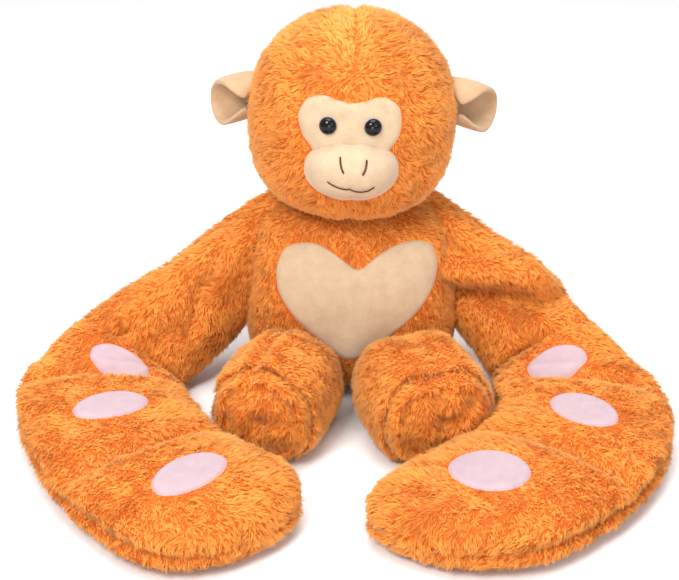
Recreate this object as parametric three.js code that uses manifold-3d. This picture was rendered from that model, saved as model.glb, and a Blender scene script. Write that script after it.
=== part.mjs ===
// A seated stuffed monkey with long quilted arms, as its sewn panels, fillings, safety eyes and stitching.
// Units are millimetres, +Z is up and the toy faces -Y. Left and right are the toy's own, so left is at +X.
import * as THREE from "three";
import { mergeVertices } from "three/addons/utils/BufferGeometryUtils.js";
import Module from "manifold-3d";

const wasm = await Module();
wasm.setup();

// ---------------------------------------------------------------- driving dimensions

const GAP = 0.4; // between neighbouring pieces
const CLOTH = 2; // a plush panel: its backing and the pile pressed against it
const SLACK = 2.6; // between a filling and the panels round it
const MUZZLE_CLOTH = 1.6; // the short plush of the muzzle
const EAR_CLOTH = 1.5;
const MIDDLE = 10; // the body sits a little to the left of the middle of the arm spread
const ROLL = THREE.MathUtils.degToRad(1.7); // the head leans towards the toy's left

// How finely each covered body is faceted: steps from a pole to the seam, and sectors about the pole. A panel
// and the filling behind it share these, so that their facets stay parallel.
const FACETS = {
  head: { steps: 6, sectors: 24 },
  torso: { steps: 6, sectors: 24 },
  muzzle: { steps: 4, sectors: 18 },
  leg: { sectors: 16 },
  arm: { steps: 4, sectors: 16 },
  ear: { steps: 3, sectors: 14 },
};

// Rounded bodies: half sizes, and how square the side profile is above and below the centre.
const HEAD = { centre: [0, -6, 91], radii: [89, 85, 88], above: 2.1, below: 2.9 }; // from the neck pivot
const TORSO = { centre: [MIDDLE, 0, 81], radii: [100, 72, 82], above: 3, below: 3.2 };
const MUZZLE = { centre: [0, -76, 64.5], radii: [41, 38, 28], above: 2.2, below: 2.2 }; // from the neck pivot

const NECK = { pivot: [8.3, -2, 168], radius: 36, depth: 34, hole: 43 };

const FACE = -2.2; // the face sits a little to the toy's right of the head's middle
const SLOPE = 0.075; // the stitching on the muzzle slopes down to the toy's left
const EYE = { spread: 18.6, height: 103.8, radius: 7.5, dome: 5.5, stem: 2, stemLength: 13 };
const WASHER = { radius: 7.5, thickness: 1.4, sunk: 2.2 };
const STITCH = { radius: 0.7, sides: 3, steps: 4 };

const EAR = { out: 86, height: 100, width: 42, tall: 56, thick: 4, cup: 10, clearance: 3 };

const HEART = { shift: 4.4, dip: 128, lobe: 160, side: 73, widest: 119, tip: 40 };
const MASK = { dip: 124, lobe: 134, side: 46, widest: 106, chin: 56 };
const PAD = { across: 33, along: 29 };

const FOOT = { hip: { left: 38, right: 41 }, radius: 49.5, height: 46.5, turn: THREE.MathUtils.degToRad(17) };

// Each arm is a flat band. A station gives the middle of the band, the direction across it towards its outer
// edge, and half its width. Even stations lie on seams: shoulder, elbow, wrist, knuckle, and last the tip.
const RIGHT_ARM = [
  { at: [-91, 2, 102], across: [0.1, 0, 1], half: 60 },
  { at: [-138, -18, 67], across: [-0.34, 0.12, 0.94], half: 50 },
  { at: [-192, -47, 37.5], across: [-0.81, 0.2, 0.555], half: 55 },
  { at: [-208, -78, 23.5], across: [-0.97, 0.04, 0.22], half: 65 },
  { at: [-212, -108, 24], across: [-1, -0.05, 0.05], half: 73 },
  { at: [-196, -164, 24], across: [-0.95, -0.3, 0], half: 72 },
  { at: [-158, -230, 22], across: [-0.83, -0.56, 0], half: 74 },
  { at: [-111, -282, 22], across: [-0.8, -0.6, 0], half: 79 },
  { at: [-72, -337, 20], across: [-0.8, -0.6, 0], half: 79 },
];
const LEFT_ARM = [
  { at: [111, 2, 102], across: [-0.1, 0, 1], half: 60 },
  { at: [148, -14, 72], across: [0.35, 0.1, 0.93], half: 50 },
  { at: [186, -38, 37.5], across: [0.81, 0.1, 0.59], half: 52 },
  { at: [206, -78, 24], across: [0.98, -0.06, 0.19], half: 63 },
  { at: [213, -117, 24], across: [0.97, -0.22, 0.03], half: 76 },
  { at: [207, -172, 24], across: [0.9, -0.42, 0], half: 74 },
  { at: [172, -230, 22], across: [0.8, -0.6, 0], half: 76 },
  { at: [115, -288, 22], across: [0.83, -0.56, 0], half: 76 },
  { at: [57, -340, 20], across: [0.85, -0.5, 0], half: 76 },
];
// How a pillow's height falls away to its edge: 1 is a sharp-edged lens, and less is fuller.
// The ends beside a seam are sharp, so that the arm can fold there.
const FULLNESS = { sides: 0.62, seams: 1 };
// Pillows of the band between two seams: how high each stands above and below the band's middle surface.
// Square ends lie against a seam, and the hand has one round end.
const LYING = ["top", "bottom"];
const SEGMENTS = [
  { name: "upper_arm", from: 0, to: 2, panels: ["front", "back"], above: 26, below: 24, ends: [6, 6] },
  { name: "forearm", from: 2, to: 4, panels: LYING, above: 28, below: 24, ends: [6, 6], pad: 3.05 },
  { name: "wrist", from: 4, to: 6, panels: LYING, above: 30, below: 24, ends: [6, 6], pad: 5 },
  { name: "hand", from: 6, to: 8, panels: LYING, above: 31, below: 22, ends: [6, 2.2], pad: 6.95 },
];

// ---------------------------------------------------------------- materials

const cloth = (color) => new THREE.MeshStandardMaterial({ color, roughness: 0.95, metalness: 0 });
const LOOKS = {
  fur: () => cloth(0xe98b37),
  cream: () => cloth(0xf2dcb8),
  pink: () => cloth(0xf7dde4),
  stuffing: () => cloth(0xf5f4ef),
  thread: () => cloth(0x3a2418),
  black: () => new THREE.MeshStandardMaterial({ color: 0x0a0a0c, roughness: 0.08, metalness: 0 }),
  nylon: () => new THREE.MeshStandardMaterial({ color: 0xe8e8e6, roughness: 0.5, metalness: 0 }),
};

// ---------------------------------------------------------------- solids

// A closed geometry as a solid that can be cut and joined.
function toSolid(geometry) {
  const bare = new THREE.BufferGeometry();
  bare.setAttribute("position", geometry.getAttribute("position"));
  bare.setIndex(geometry.index);
  const merged = facingOut(mergeVertices(bare, 1e-3));
  const vertProperties = merged.attributes.position.array;
  const triVerts = new Uint32Array(merged.index.array);
  return new wasm.Manifold(new wasm.Mesh({ numProp: 3, vertProperties, triVerts }));
}

function toGeometry(solid) {
  const mesh = solid.getMesh();
  const geometry = new THREE.BufferGeometry();
  geometry.setAttribute("position", new THREE.BufferAttribute(mesh.vertProperties, 3));
  geometry.setIndex(new THREE.BufferAttribute(mesh.triVerts, 1));
  geometry.computeVertexNormals();
  return geometry;
}

const cut = (geometry, ...tools) =>
  toGeometry(tools.reduce((solid, tool) => solid.subtract(toSolid(tool)), toSolid(geometry)));
const common = (geometry, tool) => toGeometry(toSolid(geometry).intersect(toSolid(tool)));

// A closed surface through equal rings of points, which ends on a single point at each end.
function throughRings(start, rings, end) {
  const around = rings[0].length;
  const points = [start, ...rings.flat(), end];
  const last = points.length - 1;
  const index = [];
  for (let i = 0; i < around; i++) {
    const next = (i + 1) % around;
    index.push(0, 1 + next, 1 + i);
    for (let r = 0; r + 1 < rings.length; r++) {
      const near = 1 + r * around;
      const far = near + around;
      index.push(near + i, near + next, far + i, near + next, far + next, far + i);
    }
    const rim = last - around;
    index.push(last, rim + i, rim + next);
  }
  const geometry = new THREE.BufferGeometry().setFromPoints(points);
  geometry.setIndex(index);
  return facingOut(geometry);
}

// Turns the faces round if the enclosed volume comes out negative.
function facingOut(geometry) {
  const p = geometry.attributes.position;
  const corner = [0, 1, 2].map(() => new THREE.Vector3());
  const index = geometry.index.array;
  let volume = 0;
  for (let i = 0; i < index.length; i += 3) {
    corner.forEach((c, k) => c.fromBufferAttribute(p, index[i + k]));
    volume += corner[0].dot(corner[1].cross(corner[2]));
  }
  if (volume < 0)
    for (let i = 0; i < index.length; i += 3) [index[i + 1], index[i + 2]] = [index[i + 2], index[i + 1]];
  return geometry;
}

// A surface is a function (along, around, inset): along runs 0 to 1 from pole to pole,
// around runs 0 to 1 about them, and inset moves the point in from the outer face.
const ring = (surface, along, inset, sectors) =>
  Array.from({ length: sectors }, (_, i) => surface(along, i / sectors, inset));

// The thin panel that covers the surface from one pole to a rim, open at the rim.
function panel(surface, pole, rim, { steps, sectors }, thickness = CLOTH) {
  const stops = Array.from({ length: steps }, (_, i) => pole + ((rim - pole) * (i + 1)) / steps);
  const outer = stops.map((along) => ring(surface, along, 0, sectors));
  const inner = stops.map((along) => ring(surface, along, thickness, sectors)).reverse();
  return throughRings(surface(pole, 0, 0), [...outer, ...inner], surface(pole, 0, thickness));
}

// The whole body inside the surface.
function filling(surface, inset, { steps, sectors }) {
  const stops = Array.from({ length: 2 * steps - 1 }, (_, i) => (i + 1) / (2 * steps));
  const rings = stops.map((along) => ring(surface, along, inset, sectors));
  return throughRings(surface(0, 0, inset), rings, surface(1, 0, inset));
}

// A rounded body whose poles lie along the given unit axis, with side the direction of around = 0.
function roundBody({ centre, radii, above, below }, axis, side) {
  const other = new THREE.Vector3().crossVectors(axis, side);
  return (along, around, inset) => {
    const tilt = along * Math.PI;
    const turn = around * 2 * Math.PI;
    const way = axis.clone().multiplyScalar(Math.cos(tilt));
    way.addScaledVector(side, Math.sin(tilt) * Math.cos(turn));
    way.addScaledVector(other, Math.sin(tilt) * Math.sin(turn));
    const [a, b, c] = radii.map((r) => r - inset);
    const power = way.z > 0 ? above : below;
    const level = Math.hypot(way.x / a, way.y / b);
    const reach = (level ** power + Math.abs(way.z / c) ** power) ** (-1 / power);
    return way.multiplyScalar(reach).add(new THREE.Vector3(...centre));
  };
}

const X = new THREE.Vector3(1, 0, 0);
const Y = new THREE.Vector3(0, 1, 0);
const Z = new THREE.Vector3(0, 0, 1);

function box(low, high) {
  const size = high.map((h, i) => h - low[i]);
  return new THREE.BoxGeometry(...size).translate(...high.map((h, i) => (h + low[i]) / 2));
}

// A cylinder from a point along a direction.
function rod(from, direction, radius, length, sides = 16) {
  const geometry = new THREE.CylinderGeometry(radius, radius, length, sides);
  geometry.translate(0, length / 2, 0);
  geometry.applyQuaternion(new THREE.Quaternion().setFromUnitVectors(Y, direction));
  return geometry.translate(...from);
}

// An outline drawn in X and Z, stretched about its middle by grow, and given depth along Y.
function standingPrism(shape, near, far, grow) {
  const points = shape.getPoints(5);
  const outline = points.map((p, i) => {
    const before = points[(i + points.length - 2) % (points.length - 1)];
    const after = points[(i + 1) % (points.length - 1)];
    const out = new THREE.Vector2(after.y - before.y, before.x - after.x).normalize();
    return p.clone().addScaledVector(out, grow);
  });
  const depth = far - near;
  const solid = new THREE.ExtrudeGeometry(new THREE.Shape(outline), { depth, bevelEnabled: false });
  return solid.rotateX(Math.PI / 2).translate(0, far, 0);
}

const toy = new THREE.Group();
const head = new THREE.Group();
head.position.set(...NECK.pivot);
head.rotation.y = ROLL;
toy.add(head);

function add(group, name, geometry, look) {
  const mesh = new THREE.Mesh(geometry, LOOKS[look]());
  mesh.name = name;
  group.add(mesh);
}

// ---------------------------------------------------------------- head

// Half a face mask at the right, then mirrored: a dip between two brow lobes, and in to a narrow chin.
function maskShape() {
  const { dip, lobe, side, widest, chin } = MASK;
  const shape = new THREE.Shape();
  shape.moveTo(0, chin);
  shape.bezierCurveTo(side * 0.55, chin, side * 0.6, widest - 24, side * 0.85, widest - 14);
  shape.bezierCurveTo(side * 1.08, widest + 2, side * 1.06, lobe - 2, side * 0.66, lobe - 6);
  shape.bezierCurveTo(side * 0.36, lobe - 3, side * 0.2, dip + 2, 0, dip);
  shape.bezierCurveTo(-side * 0.2, dip + 2, -side * 0.36, lobe - 3, -side * 0.66, lobe - 6);
  shape.bezierCurveTo(-side * 1.06, lobe - 2, -side * 1.08, widest + 2, -side * 0.85, widest - 14);
  shape.bezierCurveTo(-side * 0.6, widest - 24, -side * 0.55, chin, 0, chin);
  return shape;
}

// Where the line along Y at (x, z) meets the front of a rounded body, and which way it faces there.
function frontOf({ centre, radii, above, below }, x, z, inset) {
  const [a, b, c] = radii.map((r) => r - inset);
  const [u, w] = [(x - centre[0]) / a, (z - centre[2]) / c];
  const power = w > 0 ? above : below;
  const level = (1 - Math.abs(w) ** power) ** (1 / power);
  const v = Math.sqrt(level ** 2 - u ** 2);
  const normal = new THREE.Vector3(u / a, -v / b, w / c).normalize();
  return { point: new THREE.Vector3(x, centre[1] - v * b, z), normal };
}

function buildHead() {
  const surface = roundBody(HEAD, X, Z);
  const seam = GAP / 2 / HEAD.radii[1] / Math.PI;
  const throat = rod([0, 0, -20], Z, NECK.hole, 60, 24);
  const face = (grow) => standingPrism(maskShape(), -130, -40, grow).translate(FACE, 0, 0);

  for (const [side, pole, rim] of [["left", 0, 0.5 - seam], ["right", 1, 0.5 + seam]]) {
    const half = panel(surface, pole, rim, FACETS.head);
    add(head, `head_skin_${side}`, cut(half, face(GAP), throat), "fur");
  }

  const eyes = [-1, 1].map((side) => ({
    side: side < 0 ? "right" : "left",
    ...frontOf(HEAD, FACE + side * EYE.spread, EYE.height, 0),
  }));
  const inward = (eye) => eye.normal.clone().negate();
  const stemHoles = eyes.map((eye) => rod(eye.point, inward(eye), EYE.stem + GAP, CLOTH * 3));

  const whole = filling(surface, 0, FACETS.head);
  const hollow = filling(surface, CLOTH, FACETS.head);
  const mask = cut(common(whole, face(0)), hollow, ...stemHoles);
  add(head, "face_mask", mask, "cream");

  for (const eye of eyes) {
    add(head, `eye_${eye.side}`, eyeGeometry(eye), "black");
    add(head, `eye_washer_${eye.side}`, washerGeometry(eye), "nylon");
  }

  const pockets = eyes.map((eye) => rod(eye.point, inward(eye), WASHER.radius + 1, EYE.stemLength + 4));
  const neckBall = new THREE.SphereGeometry(NECK.radius + 2, 16, 10);
  const stuffing = filling(surface, CLOTH + SLACK, FACETS.head);
  add(head, "head_stuffing", cut(stuffing, neckBall, throat, ...pockets), "stuffing");
}

// A safety eye: a glossy dome on a straight stem that goes through the mask.
function eyeGeometry({ point, normal }) {
  const { radius, dome, stem, stemLength } = EYE;
  const rim = 1;
  const profile = [new THREE.Vector2(0, -stemLength), new THREE.Vector2(stem, -stemLength)];
  profile.push(new THREE.Vector2(stem, 0), new THREE.Vector2(radius, 0));
  for (let i = 0; i < 4; i++) {
    const turn = (i / 4) * (Math.PI / 2);
    profile.push(new THREE.Vector2(radius * Math.cos(turn), rim + dome * Math.sin(turn)));
  }
  profile.push(new THREE.Vector2(0, rim + dome));
  const geometry = new THREE.LatheGeometry(profile, 14);
  return stand(geometry, point, normal, GAP * 2);
}

// The push-on washer that locks the stem behind the mask.
function washerGeometry({ point, normal }) {
  const { radius, thickness, sunk } = WASHER;
  const bore = EYE.stem + GAP;
  const profile = [[bore, 0], [radius, 0], [radius, thickness], [bore, thickness], [bore, 0]];
  const geometry = new THREE.LatheGeometry(profile.map(([r, z]) => new THREE.Vector2(r, z)), 12);
  return stand(geometry, point, normal, -CLOTH - sunk - thickness);
}

// Puts a geometry made about +Y on a point, along the direction that the surface faces.
function stand(geometry, point, normal, lift) {
  geometry.deleteAttribute("normal");
  geometry.deleteAttribute("uv");
  geometry.translate(0, lift, 0);
  geometry.applyQuaternion(new THREE.Quaternion().setFromUnitVectors(Y, normal));
  geometry.translate(...point);
  return toGeometry(toSolid(geometry));
}

function buildMuzzle() {
  const surface = roundBody(MUZZLE, X, Z);
  const seam = GAP / 2 / MUZZLE.radii[2] / Math.PI;
  const skull = filling(roundBody(HEAD, X, Z), -GAP, FACETS.head);
  for (const [side, pole, rim] of [["left", 0, 0.5 - seam], ["right", 1, 0.5 + seam]]) {
    const half = panel(surface, pole, rim, FACETS.muzzle, MUZZLE_CLOTH);
    add(head, `muzzle_skin_${side}`, cut(half, skull), "cream");
  }
  add(head, "muzzle_stuffing", cut(filling(surface, MUZZLE_CLOTH + SLACK, FACETS.muzzle), skull), "stuffing");

  const onMuzzle = (x, z) => {
    const { point, normal } = frontOf(MUZZLE, x, MUZZLE.centre[2] + z - SLOPE * x, 0);
    return point.addScaledVector(normal, STITCH.radius + GAP);
  };
  const nostril = (x) => [[0.9 + x, 17], [0.9 + x * 0.95, 11], [0.9 + x * 0.71, 5]];
  const smile = [[-20.5, -4.8], [-11.8, -8], [-3.7, -8.8], [-1.9, -7.8], [1, -9.3], [9, -10.4], [19.5, -5.5]];
  add(head, "nostril_stitch_left", thread(nostril(11).map((p) => onMuzzle(...p))), "thread");
  add(head, "nostril_stitch_right", thread(nostril(-11).map((p) => onMuzzle(...p))), "thread");
  add(head, "smile_stitch", thread(smile.map((p) => onMuzzle(...p)), 2), "thread");
}

// A length of embroidery thread through the given points.
function thread(points, finer = 1) {
  const section = new THREE.Shape();
  section.absarc(0, 0, STITCH.radius, 0, 2 * Math.PI);
  const extrudePath = new THREE.CatmullRomCurve3(points);
  const steps = STITCH.steps * finer;
  return new THREE.ExtrudeGeometry(section, { steps, extrudePath, curveSegments: STITCH.sides });
}

// A cupped ear of two panels, sewn round the edge and turned.
function buildEars() {
  const { out, height, width, tall, thick, cup, clearance } = EAR;
  for (const [side, sign] of [["left", 1], ["right", -1]]) {
    const surface = (along, around, inset) => {
      const reach = Math.sin(along * Math.PI) * (1 - inset / 25);
      const turn = around * 2 * Math.PI;
      const u = reach * Math.cos(turn);
      const v = reach * Math.sin(turn) * (1 - 0.22 * Math.max(0, -u));
      const layer = Math.cos(along * Math.PI) * (thick - inset);
      const y = -cup * (v * v - 0.35) + layer;
      return new THREE.Vector3(sign * (out + clearance + (width / 2) * (1 + u)), y, height + (tall / 2) * v);
    };
    const seam = GAP / 2 / thick / Math.PI;
    add(head, `ear_back_${side}`, panel(surface, 0, 0.5 - seam, FACETS.ear, EAR_CLOTH), "cream");
    add(head, `ear_front_${side}`, panel(surface, 1, 0.5 + seam, FACETS.ear, EAR_CLOTH), "cream");
  }
}

// ---------------------------------------------------------------- neck and torso

// The firm wad of stuffing that carries the head: a round post with a ball top.
function buildNeck() {
  const { radius, depth, pivot } = NECK;
  const profile = [new THREE.Vector2(0, -depth), new THREE.Vector2(radius, -depth)];
  for (let i = 0; i < 4; i++) {
    const turn = (i / 4) * (Math.PI / 2);
    profile.push(new THREE.Vector2(radius * Math.cos(turn), radius * Math.sin(turn)));
  }
  profile.push(new THREE.Vector2(0, radius));
  const post = stand(new THREE.LatheGeometry(profile, 16), new THREE.Vector3(...pivot), Z, 0);
  add(toy, "neck_stuffing", post, "stuffing");
}

function heartShape() {
  const { dip, lobe, side, widest, tip } = HEART;
  const shape = new THREE.Shape();
  shape.moveTo(0, tip);
  shape.bezierCurveTo(side * 0.42, tip + 16, side * 1.06, widest - 34, side, widest);
  shape.bezierCurveTo(side * 0.86, lobe, side * 0.24, lobe - 12, 0, dip);
  shape.bezierCurveTo(-side * 0.24, lobe - 12, -side * 0.86, lobe, -side, widest);
  shape.bezierCurveTo(-side * 1.06, widest - 34, -side * 0.42, tip + 16, 0, tip);
  return shape;
}

function buildTorso() {
  const surface = roundBody(TORSO, Y, Z);
  const seam = GAP / 2 / TORSO.radii[0] / Math.PI;
  const [x, y] = NECK.pivot;
  const collar = rod([x, y, NECK.pivot[2] - NECK.depth - 1], Z, NECK.radius + 1, 60, 20);
  const heart = (grow) => standingPrism(heartShape(), -110, -12, grow).translate(MIDDLE + HEART.shift, 0, 0);
  const floor = box([-300, -200, -50], [300, 200, 0]);

  add(toy, "torso_back_skin", cut(panel(surface, 0, 0.5 - seam, FACETS.torso), collar, floor), "fur");
  const front = cut(panel(surface, 1, 0.5 + seam, FACETS.torso), heart(GAP), collar, floor);
  const halves = { left: [MIDDLE + GAP / 2, 200], right: [-200, MIDDLE - GAP / 2] };
  for (const [side, [low, high]] of Object.entries(halves))
    add(toy, `torso_front_skin_${side}`, common(front, box([low, -200, -50], [high, 50, 250])), "fur");

  const whole = filling(surface, 0, FACETS.torso);
  const hollow = filling(surface, CLOTH, FACETS.torso);
  add(toy, "heart_panel", cut(common(whole, heart(0)), hollow), "cream");
  add(toy, "torso_stuffing", cut(filling(surface, CLOTH + SLACK, FACETS.torso), collar), "stuffing");
}

// ---------------------------------------------------------------- legs

// A short leg that swells from a flat hip seam into a chunky foot, with the sole facing forwards.
function buildLegs() {
  const { hip, radius, height, turn } = FOOT;
  // How far forward each ring is, and its half width and half height as shares of the foot's.
  const profile = [
    { y: -76, wide: 0.0, tall: 0.0, z: 0.72 },
    { y: -77, wide: 0.62, tall: 0.1, z: 0.72 },
    { y: -86, wide: 0.76, tall: 0.42, z: 0.76 },
    { y: -98, wide: 0.88, tall: 0.7, z: 0.86 },
    { y: -114, wide: 0.97, tall: 0.92, z: 0.96 },
    { y: -138, wide: 1, tall: 1, z: 1 },
    { y: -164, wide: 0.97, tall: 0.97, z: 1 },
    { y: -181, wide: 0.86, tall: 0.86, z: 1 },
    { y: -190, wide: 0.62, tall: 0.62, z: 1 },
    { y: -195, wide: 0.3, tall: 0.3, z: 1 },
    { y: -196, wide: 0.0, tall: 0.0, z: 1 },
  ];
  const last = profile.length - 1;
  for (const [side, sign] of [["left", 1], ["right", -1]]) {
    const surface = (along, around, inset) => {
      const k = along * last;
      const low = Math.min(Math.floor(k), last - 1);
      const mix = (key) => THREE.MathUtils.lerp(profile[low][key], profile[low + 1][key], k - low);
      const angle = around * 2 * Math.PI;
      const thin = (size) => Math.max(size - inset, size * 0.2);
      const x = thin(mix("wide") * radius) * Math.cos(angle);
      const z = thin(mix("tall") * height) * Math.sin(angle) + mix("z") * height;
      const y = mix("y") + inset * (k > 5 ? 1 : -1) * (Math.abs(k - 5) / 5);
      const p = new THREE.Vector3(x, y, Math.max(z, inset));
      p.sub(new THREE.Vector3(0, -76, 0)).applyAxisAngle(Z, sign * turn);
      return p.add(new THREE.Vector3(MIDDLE + sign * hip[side], -76, 0));
    };
    const { sectors } = FACETS.leg;
    const edge = 6 / last;
    add(toy, `leg_skin_${side}`, panel(surface, 0, edge, { steps: 6, sectors }), "fur");
    add(toy, `sole_panel_${side}`, panel(surface, 1, edge + GAP / 180, { steps: 4, sectors }), "fur");
    add(toy, `leg_stuffing_${side}`, filling(surface, CLOTH + SLACK + 2, { steps: 5, sectors }), "stuffing");
  }
}

// ---------------------------------------------------------------- arms

// The middle surface of an arm at a station number u and a share t of its half width: its point, and the way
// that it faces, which is forwards at the shoulder and up where it lies down.
function armBand(stations) {
  const spine = new THREE.CatmullRomCurve3(stations.map((s) => new THREE.Vector3(...s.at)));
  const last = stations.length - 1;
  const across = (u) => {
    const low = Math.min(Math.floor(u), last - 1);
    const [a, b] = [low, low + 1].map((i) => new THREE.Vector3(...stations[i].across).normalize());
    return a.lerp(b, u - low).normalize();
  };
  const half = (u) => {
    const low = Math.min(Math.floor(u), last - 1);
    return THREE.MathUtils.lerp(stations[low].half, stations[low + 1].half, u - low);
  };
  return (u, t) => {
    const edge = across(u);
    const facing = new THREE.Vector3().crossVectors(spine.getTangent(u / last), edge).normalize();
    facing.multiplyScalar(Math.sign(stations[0].at[0] - MIDDLE));
    const point = spine.getPoint(u / last).addScaledVector(edge, t * half(u));
    return { point, facing, half: half(u) };
  };
}

// The pillow between two seams of the band. Pole 0 is its upper crown, and the seam round its edge is at 0.5.
function pillow(band, segment) {
  const length = band(segment.from, 0).point.distanceTo(band(segment.to, 0).point);
  const middle = (segment.from + segment.to) / 2;
  const span = (segment.to - segment.from) / 2;
  return (along, around, inset) => {
    const upper = along <= 0.5;
    const reach = upper ? along * 2 : (1 - along) * 2;
    const turn = around * 2 * Math.PI;
    const power = Math.cos(turn) < 0 ? segment.ends[0] : segment.ends[1];
    const edge = (Math.abs(Math.cos(turn)) ** power + Math.abs(Math.sin(turn)) ** power) ** (-1 / power);
    const shrink = { s: 1 - (2 * (inset + GAP)) / length, t: 1 - inset / band(middle, 0).half };
    const s = middle + span * reach * edge * Math.cos(turn) * shrink.s;
    const t = reach * edge * Math.sin(turn) * shrink.t;
    const { point, facing } = band(s, t);
    const crown = (upper ? segment.above : segment.below) - inset;
    const fullness = THREE.MathUtils.lerp(FULLNESS.sides, FULLNESS.seams, Math.cos(turn) ** 2);
    const swell = crown * (1 - reach ** 2) ** fullness;
    point.addScaledVector(facing, upper ? swell : -swell);
    point.z = Math.max(point.z, inset);
    return point;
  };
}

// A low column on the band's outer side, to cut the oval pad out of the panel.
function padColumn(band, u, grow) {
  const { point, facing } = band(u, 0);
  const acrossWay = band(u, 1).point.sub(point).normalize();
  const oval = new THREE.Shape();
  oval.absellipse(0, 0, PAD.across + grow, PAD.along + grow, 0, 2 * Math.PI);
  const column = new THREE.ExtrudeGeometry(oval, { depth: 60, bevelEnabled: false, curveSegments: 9 });
  const along = new THREE.Vector3().crossVectors(facing, acrossWay);
  column.applyMatrix4(new THREE.Matrix4().makeBasis(acrossWay, along, facing));
  return column.translate(...point);
}

function buildArm(side, stations) {
  const band = armBand(stations);
  const torso = filling(roundBody({ ...TORSO, radii: TORSO.radii.map((r) => r + 2) }, Y, Z), 0, FACETS.torso);
  for (const segment of SEGMENTS) {
    const surface = pillow(band, segment);
    const seam = GAP / 100;
    const [upper, lower] = segment.panels;
    const fit = (geometry) => (segment.from === 0 ? cut(geometry, torso) : geometry);
    const name = `${segment.name}_${side}`;
    let cover = panel(surface, 0, 0.5 - seam, FACETS.arm);
    if (segment.pad) {
      add(toy, `${segment.name}_pad_${side}`, common(cover, padColumn(band, segment.pad, 0)), "pink");
      cover = cut(cover, padColumn(band, segment.pad, GAP));
    }
    add(toy, `${name}_${upper}_skin`, fit(cover), "fur");
    add(toy, `${name}_${lower}_skin`, fit(panel(surface, 1, 0.5 + seam, FACETS.arm)), "fur");
    add(toy, `${name}_stuffing`, fit(filling(surface, CLOTH + SLACK, FACETS.arm)), "stuffing");
  }
}

// ---------------------------------------------------------------- assembly

buildHead();
buildMuzzle();
buildEars();
buildNeck();
buildTorso();
buildLegs();
buildArm("right", RIGHT_ARM);
buildArm("left", LEFT_ARM);

// The frame's origin is the middle of the toy's bounding box, on the surface that it sits on.
const bounds = new THREE.Box3().setFromObject(toy, true);
const middle = bounds.getCenter(new THREE.Vector3());
toy.position.set(-middle.x, -middle.y, -bounds.min.z);

export default toy;
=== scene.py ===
"""A seated stuffed monkey with long quilted arms, dressed over its CAD frame.

The skins and their pile, the face, the pads, the seams and the fillings are made here. Shapes are worked
out in millimetres in the drawing frame, and moved into the CAD frame when a mesh is made. In the drawing
frame the torso's middle is near x = MIDDLE, the side seams are at y = 0, the floor is at z = 0, the toy
faces low y and its left is at high x.
"""
import math

import bmesh
import bpy
import numpy as np
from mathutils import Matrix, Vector


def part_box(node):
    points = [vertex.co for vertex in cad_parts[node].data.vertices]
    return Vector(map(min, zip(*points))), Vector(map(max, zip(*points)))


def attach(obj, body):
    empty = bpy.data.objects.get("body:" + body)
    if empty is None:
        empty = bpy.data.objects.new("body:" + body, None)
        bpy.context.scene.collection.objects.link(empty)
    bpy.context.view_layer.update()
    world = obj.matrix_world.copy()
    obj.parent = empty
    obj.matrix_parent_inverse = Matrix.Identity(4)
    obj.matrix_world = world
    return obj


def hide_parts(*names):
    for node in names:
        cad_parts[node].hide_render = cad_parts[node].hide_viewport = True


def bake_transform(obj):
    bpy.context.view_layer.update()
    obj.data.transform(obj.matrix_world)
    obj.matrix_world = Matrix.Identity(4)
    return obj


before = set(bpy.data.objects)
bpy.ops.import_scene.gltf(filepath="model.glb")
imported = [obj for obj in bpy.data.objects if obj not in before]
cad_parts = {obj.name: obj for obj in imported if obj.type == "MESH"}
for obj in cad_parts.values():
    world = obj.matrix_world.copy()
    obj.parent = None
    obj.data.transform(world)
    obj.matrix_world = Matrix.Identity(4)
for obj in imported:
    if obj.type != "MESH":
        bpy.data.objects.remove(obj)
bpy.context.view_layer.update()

# ------------------------ driving dimensions (mm)

SIDES = (("left", 1), ("right", -1))  # the toy's left is at high x
MIDDLE = 10.0  # the drawing's x at the middle of the CAD torso
ROLL = math.radians(1.7)  # the head leans to the toy's left
PIVOT = np.array([8.3, -2.0, 168.0])  # the neck joint, which the head's own frame starts from
FACE = -2.2  # the face sits a little to the toy's right of the head's middle

# Rounded bodies: a centre, three radii, and how square they are above and below the middle (2 is an ellipse).
HEAD = {"centre": (0, -6, 91), "radii": (90, 86, 89), "above": 2.1, "below": 2.9}
MUZZLE = {"centre": (0, -76, 64.5), "radii": (41, 38, 28), "above": 2.2, "below": 2.2}
TORSO = {"middle": 11, "centre": 81.5, "width": 98, "depth": 73, "height": 83}

# One half of an outline, in x and z. The other half is its mirror image.
MASK = [
    (4, 124.3), (13, 126.8), (24, 128.8), (34, 126), (42, 119), (45.5, 109),
    (44.5, 100), (41.5, 92), (36, 84), (29, 74), (16, 64),
]
HEART = [
    (3, 131), (10, 136), (21, 143), (36, 149.5), (51, 150.5), (64, 145), (72.5, 132),
    (75, 118), (72.5, 104), (65, 91), (54, 79.5), (40, 67.5), (24, 54), (8, 42),
]
HEART_MIDDLE = 14.0
HEART_LEAN = 0.06  # the heart leans to the toy's left as it rises
EYE = {"spread": 18.6, "height": 103.8, "radius": 7.6}
EAR = {"root": 83, "height": 101.5, "length": {"left": 48, "right": 44}, "radius": 17}
FOOT_TURN = math.radians(17)  # each foot points outwards

# The neck's wad: radius and height up to the ball that the head nods on.
NECK_WAD = {"radius": 27, "foot": 24, "low": 138, "shoulder": 142, "high": 166}

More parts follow.
